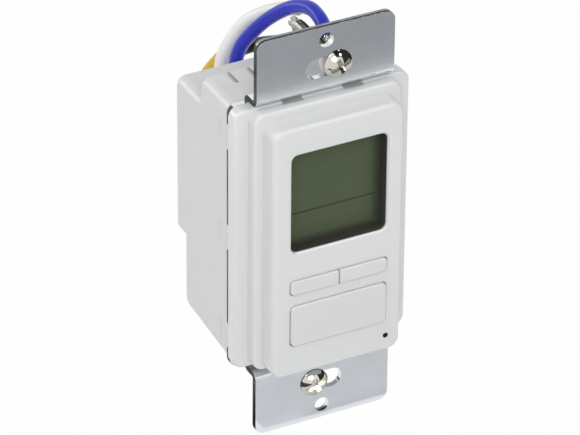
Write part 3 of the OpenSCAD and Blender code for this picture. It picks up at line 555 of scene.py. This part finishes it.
reflector_sheet = speckled("reflector sheet", (0.52, 0.53, 0.46), (0.62, 0.63, 0.55),
                           (0.5, 0.6), 0.4 * MM, 0.002 * MM)
board_resin = speckled("board resin", (0.018, 0.13, 0.055), (0.030, 0.18, 0.08),
                       (0.35, 0.5), 0.35 * MM, 0.004 * MM)
insulation = {
    "yellow": speckled("yellow insulation", (0.66, 0.43, 0.028), (0.76, 0.50, 0.038),
                       (0.28, 0.36), 0.5 * MM, 0.002 * MM, gloss=0.3),
    "black": speckled("black insulation", (0.010, 0.010, 0.012), (0.018, 0.018, 0.020),
                      (0.28, 0.36), 0.5 * MM, 0.002 * MM, gloss=0.3),
    "white": speckled("white insulation", (0.93, 0.925, 0.885), (0.96, 0.955, 0.92),
                      (0.30, 0.40), 0.5 * MM, 0.002 * MM),
    "blue": speckled("blue insulation", (0.018, 0.027, 0.47), (0.024, 0.035, 0.55),
                     (0.20, 0.27), 0.5 * MM, 0.001 * MM, gloss=0.25),
}
print(len(finish_names), "finishes so far")

# %% [markdown]
# ## Metals
# The strap is cold rolled steel with bright zinc: rolling leaves fine lines
# along the sheet, so its noise is stretched. Where the press sheared it, the
# long edges are dark and torn; on the cropped ends a grey rubbed band lies
# beside a dark torn one. The screws are nickel plated: the heads smooth enough
# to mirror the studio, the rolled threads duller.

# %% Mix the metals
ROLLED_LINES, TORN_LINES = (0.15, 1, 1), (1, 0.25, 1)
RUBBED_TO, TORN_FROM = -0.6 * MM, -1.0 * MM
zinc = speckled("bright zinc", (0.72, 0.742, 0.772), (0.76, 0.78, 0.808),
                (0.07, 0.10), 0.35 * MM, 0.0008 * MM, metal=1.0, stretch=ROLLED_LINES)
sheared = speckled("sheared steel edge", (0.030, 0.034, 0.036), (0.12, 0.13, 0.13),
                   (0.45, 0.7), 0.22 * MM, 0.03 * MM, metal=1.0, stretch=TORN_LINES)
cropped = speckled("cropped steel end", (0.20, 0.21, 0.22), (0.36, 0.37, 0.38),
                   (0.3, 0.5), 0.22 * MM, 0.02 * MM, metal=1.0, stretch=TORN_LINES)
torn_band = fade(cropped, axes(cropped)["Y"], RUBBED_TO, TORN_FROM)
darker_where(cropped, torn_band, (0.030, 0.032, 0.034))
nickel = speckled("screw nickel", (0.62, 0.595, 0.53), (0.70, 0.675, 0.61),
                  (0.05, 0.09), 0.4 * MM, 0.0008 * MM, metal=1.0)
# Painted shade in the head's slot and cross.
paint_shade_in_hollows(nickel, 0.7 * MM, (0.012, 0.010, 0.006))
rolled = speckled("rolled thread", (0.34, 0.335, 0.30), (0.46, 0.45, 0.41),
                  (0.20, 0.30), 0.3 * MM, 0.002 * MM, metal=1.0)
# Painted shade in the roots of the thread.
paint_shade_in_hollows(rolled, 0.6 * MM, (0.01, 0.01, 0.009))
tinned = speckled("tinned copper", (0.42, 0.41, 0.38), (0.62, 0.60, 0.56),
                  (0.22, 0.36), 0.3 * MM, 0.006 * MM, metal=1.0)
brass = speckled("pin brass", (0.48, 0.34, 0.13), (0.60, 0.44, 0.18),
                 (0.22, 0.34), 0.3 * MM, 0.003 * MM, metal=1.0)
steel = speckled("plain steel", (0.32, 0.33, 0.34), (0.44, 0.45, 0.46),
                 (0.28, 0.42), 0.3 * MM, 0.004 * MM, metal=1.0)
print(len(finish_names), "finishes so far")

# %% [markdown]
# ## The display
# A resting liquid crystal display is olive, because its two polarisers let
# some light through to a pale reflector. A fine line parts its two fields, and
# a glue border with a painted shadow of the window's edge darkens it to the
# right and below: both are drawn by place.
# A strip of mesh could draw the line, but it would stand proud of flat glass.

# %% Mix the display's olive
LINE_Z, LINE_END_X, LINE_HALF = 7.36 * MM, 11.6 * MM, 0.17 * MM
BORDER_SHADOW_RIGHT, BORDER_SHADOW_LOW = (9.8 * MM, 12.6 * MM), (1.7 * MM, -1.0 * MM)
display_olive = speckled("display olive", (0.098, 0.122, 0.067), (0.103, 0.128, 0.071),
                         (0.30, 0.36), 0.8 * MM, 0.0002 * MM, gloss=0.1)
olive_tree, olive_axes = display_olive.node_tree, axes(display_olive)
# Painted shadow: the window's edge shades the olive to the right and below, along with a glue
# border.
border_and_shadow = work_out(olive_tree, "MAXIMUM", fade(display_olive, olive_axes["X"], *BORDER_SHADOW_RIGHT),
                  fade(display_olive, olive_axes["Z"], *BORDER_SHADOW_LOW))
darker_where(display_olive, border_and_shadow, (0.036, 0.036, 0.025))
on_line = work_out(olive_tree, "COMPARE", olive_axes["Z"], LINE_Z, LINE_HALF)
before_end = work_out(olive_tree, "LESS_THAN", olive_axes["X"], LINE_END_X)
field_line = work_out(olive_tree, "MULTIPLY", on_line, before_end)
darker_where(display_olive, field_line, (0.022, 0.030, 0.020))
print("field line at", round(LINE_Z / MM, 2), "mm")

# %% [markdown]
# ## The lens
# The lens in front of the display is clear acrylic with a faint smoke tint. A
# coating keeps glare off it, which a low index of refraction imitates. Bending
# every ray would leave the display behind it noisy and dark, so shadow and
# diffuse rays pass straight through. The lens's edges are blackened so that no
# white wall shows through them.

# %% Mix the clear lens
lens_rim = speckled("blackened lens edge", (0.036, 0.035, 0.026), (0.046, 0.045, 0.034),
                    (0.5, 0.6), 0.4 * MM, 0.002 * MM)


def any_ray(tree, first, *others):
    rays = tree.nodes.new("ShaderNodeLightPath")
    found = rays.outputs[first]
    for kind in others:
        found = work_out(tree, "MAXIMUM", found, rays.outputs[kind])
    return found


def mix_shaders(tree, amount, at_zero, at_one, output="Material Output"):
    mixer = tree.nodes.new("ShaderNodeMixShader")
    tree.links.new(amount, mixer.inputs["Fac"])
    tree.links.new(at_zero, mixer.inputs[1])
    tree.links.new(at_one, mixer.inputs[2])
    tree.links.new(mixer.outputs["Shader"], tree.nodes[output].inputs["Surface"])


clear_lens, lens_tree, lens_shader = start_finish("clear lens")
lens_shader.inputs["Base Color"].default_value = (0.93, 0.95, 0.91, 1)
lens_shader.inputs["Transmission Weight"].default_value = 1
lens_shader.inputs["IOR"].default_value = 1.18
lens_haze = number_between(lens_tree, speckle(lens_tree, 3 * MM), 0.003, 0.008)
lens_tree.links.new(lens_haze, lens_shader.inputs["Roughness"])
let_through = lens_tree.nodes.new("ShaderNodeBsdfTransparent")
let_through.inputs["Color"].default_value = (0.90, 0.92, 0.88, 1)
mix_shaders(lens_tree, any_ray(lens_tree, "Is Shadow Ray", "Is Diffuse Ray"),
            lens_shader.outputs["BSDF"], let_through.outputs["BSDF"])
print("lens index of refraction", round(lens_shader.inputs["IOR"].default_value, 2))

# %% [markdown]
# ## Painting the solids
# Most solids already have the right shape and only need a finish. A solid's
# first material slot is its finish, so painting it means emptying the slots
# and adding one. The screws get two: plated heads and duller threads.

# %% Paint every piece
paints = [
    (front_white, "front_bezel"),
    (rear_white, "rear_housing"),
    (key_white, "main_key", "left_key", "right_key"),
    (grey_plastic_and_pinhole_shade, "reset_button"),
    (clear_lens, "display_lens"),
    (dark_plastic, "lcd_frame"),
    (display_olive, "lcd_glass"),
    (reflector_sheet, "lcd_reflector"),
    (rubber, "contact_strips"),
    (zinc, "mounting_strap"),
    (black_plastic, "main_plunger", "left_plunger", "right_plunger", "key_switches",
     "controller_chip", "header_body", "header_socket", "backup_capacitor", "rectifier"),
    (board_resin, "logic_board", "power_board"),
    (steel, "logic_board_screws", "clock_crystal"),
    (brass, "header_pins"),
    (relay_case, "relay", "varistor"),
    (amber_case, "film_capacitor"),
    (sleeve, "smoothing_capacitor"),
    (nickel, "upper_screw", "lower_screw"),
    (fibre, "upper_washer", "lower_washer"),
    (insulation["white"], "lead_tails"),
]
for finish, *names in paints:
    for name in names:
        solids[name].data.materials.clear()
        solids[name].data.materials.append(finish)
for screw in screws.values():
    screw.data.materials.clear()
    screw.data.materials.append(nickel)
    screw.data.materials.append(rolled)
    for face in screw.data.polygons:
        face.material_index = int(face.center.y > HEAD_Y)
for colour, (lead, length) in leads.items():
    lead.data.materials.append(insulation[colour])
    bare_ends[colour].data.materials.append(tinned)
print("unpainted:", [name for name in solids if not solids[name].data.materials[0]])

# %% [markdown]
# ## Soft edges
# No moulded or pressed edge is perfectly sharp, and hard CAD edges give a
# model away. The CAD meshes stay as they are, so the seen pieces get a chain
# of modifiers: weld the triangles, join flat neighbours, round what is left as
# an edge and weigh the normals so that flat faces stay flat.

# %% Round the edges
WELD_WITHIN, FLAT_WITHIN = 0.002 * MM, math.radians(0.6)
EDGE_ANGLE, EDGE_STEPS, FLAT_WEIGHT = math.radians(32), 3, 80
edge_rounding = {
    "front_bezel": 0.16, "rear_housing": 0.2, "mounting_strap": 0.12,
    "main_key": 0.22, "left_key": 0.22, "right_key": 0.22,
    "upper_washer": 0.1, "lower_washer": 0.1,
}


def soften(solid, width):
    weld = solid.modifiers.new("weld", "WELD")
    weld.merge_threshold = WELD_WITHIN
    flatten = solid.modifiers.new("join flats", "DECIMATE")
    flatten.decimate_type, flatten.angle_limit = "DISSOLVE", FLAT_WITHIN
    bevel = solid.modifiers.new("round edges", "BEVEL")
    bevel.width, bevel.segments = width, EDGE_STEPS
    bevel.limit_method, bevel.angle_limit = "ANGLE", EDGE_ANGLE
    bevel.use_clamp_overlap = True
    normals = solid.modifiers.new("weigh normals", "WEIGHTED_NORMAL")
    normals.weight = FLAT_WEIGHT
    for face in solid.data.polygons:
        face.use_smooth = True


for name, width in edge_rounding.items():
    soften(solids[name], width * MM)
print("rounded, in mm:", edge_rounding)

# %% [markdown]
# ## More than one finish on a solid
# The strap's sheared edges and the lens's blackened edges are faces of the
# same solids. Each face can carry the number of its own material slot, so a
# test on the face's place and direction is enough: a sheet's edges look
# sideways. The walls of its slots and holes stay bright, rubbed by the punch.
# The reset pinhole is deep and narrow, so its white wall gets the button's dark grey as painted
# shade.

# %% Give edges their own finish
SIDEWAYS = 0.5
STRAP_SIDE_X, STRAP_END_Z = 14, 49  # places are in millimetres here
PIN_X, PIN_Z, PIN_WITHIN = 12.7, -29.1, 0.9


def edge_finish(name, finish, is_edge):
    mesh = solids[name].data
    mesh.materials.append(finish)
    edges = [face for face in mesh.polygons if is_edge(face.center / MM, face.normal)]
    for face in edges:
        face.material_index = len(mesh.materials) - 1
    print(name, "has", len(edges), "faces of", finish.name, "out of", len(mesh.polygons))


def strap_side(centre, normal):
    return abs(normal.x) > SIDEWAYS and abs(centre.x) > STRAP_SIDE_X


def strap_end(centre, normal):
    return abs(normal.z) > SIDEWAYS and abs(centre.z) > STRAP_END_Z


def lens_edge(centre, normal):
    return abs(normal.y) < SIDEWAYS


# Painted shade: the pinhole's white wall takes the button's dark grey.
def shaded_pinhole_wall(centre, normal):
    off_axis = math.hypot(centre.x - PIN_X, centre.z - PIN_Z)
    return abs(normal.y) < SIDEWAYS and off_axis < PIN_WITHIN


edge_finish("mounting_strap", sheared, strap_side)
edge_finish("mounting_strap", cropped, strap_end)
edge_finish("display_lens", lens_rim, lens_edge)
# Painted shade on the pinhole's wall.
edge_finish("front_bezel", grey_plastic_and_pinhole_shade, shaded_pinhole_wall)

# %% [markdown]
# ## Floor and world
# The photograph is a cut-out on white. A floor just under the lower ear
# catches a faint shadow; seen by the camera or in a reflection it glows white,
# and so does the world. More light would whiten the background too, but it
# would wash out the part. The Light Path node knows which ray is asking, so
# the object itself is lit by a plain grey world.

# %% Lay the floor and set the world
LOWEST = cad_box[0][2]
FLOOR_HALF, FLOOR_GLOW = 4, 0.98
BACKDROP_RAYS = ("Is Camera Ray", "Is Glossy Ray", "Is Transmission Ray")


def flat_sheet(name, half, place, turn=(0, 0, 0)):
    shape = bmesh.new()
    bmesh.ops.create_grid(shape, x_segments=1, y_segments=1, size=half)
    sheet = mesh_object(name, shape)
    sheet.location, sheet.rotation_euler = place, turn
    return sheet


floor = flat_sheet("floor", FLOOR_HALF, (0, 0, LOWEST))
floor_white, floor_tree, floor_shader = start_finish("floor white")
floor_shader.inputs["Base Color"].default_value = (0.84, 0.84, 0.84, 1)
floor_shader.inputs["Roughness"].default_value = 0.9
floor_shader.inputs["Specular IOR Level"].default_value = 0
glow = floor_tree.nodes.new("ShaderNodeEmission")
glow.inputs["Strength"].default_value = 1
glow_share = work_out(floor_tree, "MULTIPLY", any_ray(floor_tree, *BACKDROP_RAYS), FLOOR_GLOW)
mix_shaders(floor_tree, glow_share, floor_shader.outputs["BSDF"], glow.outputs["Emission"])
floor.data.materials.append(floor_white)

world = bpy.data.worlds.new("studio")
bpy.context.scene.world = world
world.use_nodes = True
sky = world.node_tree
soft_grey = sky.nodes["Background"]
soft_grey.inputs["Color"].default_value = (0.98, 0.99, 1, 1)
soft_grey.inputs["Strength"].default_value = 0.44
pure_white = sky.nodes.new("ShaderNodeBackground")
pure_white.inputs["Color"].default_value = (1, 1, 1, 1)
pure_white.inputs["Strength"].default_value = 1
mix_shaders(sky, any_ray(sky, *BACKDROP_RAYS), soft_grey.outputs["Background"],
            pure_white.outputs["Background"], output="World Output")
print("floor at", round(LOWEST / MM, 2), "mm")

# %% [markdown]
# ## Lamps
# The photograph was lit by large soft boxes. A large round area lamp in front
# gives the soft light, and three weaker ones round the object draw glints
# along the rounded edges. A sun or a point lamp would cut hard shadows. Each
# lamp is aimed at the origin, which lies inside the part.

# %% Hang the lamps


def soft_box(name, place, size, watts):
    lamp = bpy.data.lights.new(name, "AREA")
    lamp.shape, lamp.size, lamp.energy = "DISK", size, watts
    box = add_object(name, lamp)
    box.location = place
    box.rotation_euler = (-Vector(place)).to_track_quat("-Z", "Y").to_euler()
    return box


lamps = [
    soft_box("front soft box", (-0.314, -0.722, 0.532), size=0.55, watts=3.2),
    soft_box("upper left lamp", (-0.495, -0.171, 0.729), size=0.15, watts=0.85),
    soft_box("back left lamp", (-0.55, 0.716, 0.26), size=0.4, watts=1.4),
    soft_box("upper right lamp", (0.198, -0.25, 0.385), size=0.08, watts=0.2),
]
print(len(lamps), "lamps,", round(sum(box.data.energy for box in lamps), 2), "W in all")

# %% [markdown]
# ## Sheets to mirror
# Bright metal has hardly a colour of its own: it shows what stands round it.
# A product photographer puts grey, white and black card where the metal will
# mirror it. Here sheets do the same. They are hidden from the camera, from
# diffuse light and from shadows, so that only metal and glass show them.

# %% Stand the sheets round the object
SHEET_Z = LOWEST + 1 * MM
GREY_HALF, GREY_EDGE_Y, GREY_FADE = 0.16, -0.133, 0.007
RIGHT_HALF, UPRIGHT = 0.16, (0, math.pi / 2, 0)


def card(name, dark, light):
    return speckled(name, dark, light, (0.8, 0.9), 2 * MM, 0.01 * MM)


def mirrored_sheet(name, finish, half, place, turn=(0, 0, 0)):
    sheet = flat_sheet(name, half, place, turn)
    sheet.data.materials.append(finish)
    sheet.visible_camera = sheet.visible_diffuse = sheet.visible_shadow = False
    return sheet


grey_card = card("sheet grey", (0.88, 0.89, 0.90), (0.92, 0.93, 0.94))
past_edge = fade(grey_card, axes(grey_card)["Y"], GREY_HALF, GREY_HALF - GREY_FADE)
darker_where(grey_card, past_edge, (0.435, 0.445, 0.455))
pale_card = card("sheet pale", (0.89, 0.89, 0.90), (0.91, 0.91, 0.92))
black_card = card("sheet black", (0.012, 0.012, 0.011), (0.018, 0.018, 0.016))
sheets = [
    mirrored_sheet("grey sheet", grey_card, GREY_HALF, (0.14, GREY_EDGE_Y - GREY_HALF, SHEET_Z)),
    mirrored_sheet("pale sheet", pale_card, 0.03, (0.015, -0.0317, SHEET_Z)),
    mirrored_sheet("right black sheet", black_card, RIGHT_HALF,
                   (0.18, -0.09, LOWEST + RIGHT_HALF), UPRIGHT),
    mirrored_sheet("left black sheet", black_card, 0.0565, (-0.0735, -0.045, SHEET_Z)),
    mirrored_sheet("upper black sheet", black_card, 0.3, (0.22, -0.22, 0.5)),
]
print(len(sheets), "sheets that only metal and glass show")

# %% [markdown]
# ## Finish
# The picture is shown as measured, with the plain view transform. Last, the
# box of the CAD solids is printed.

# %% Set the view and print the CAD box
bpy.context.scene.view_settings.view_transform = "Standard"
bpy.context.view_layer.update()
print("CAD box from", in_mm(cad_box[0]), "to", in_mm(cad_box[1]), "mm")
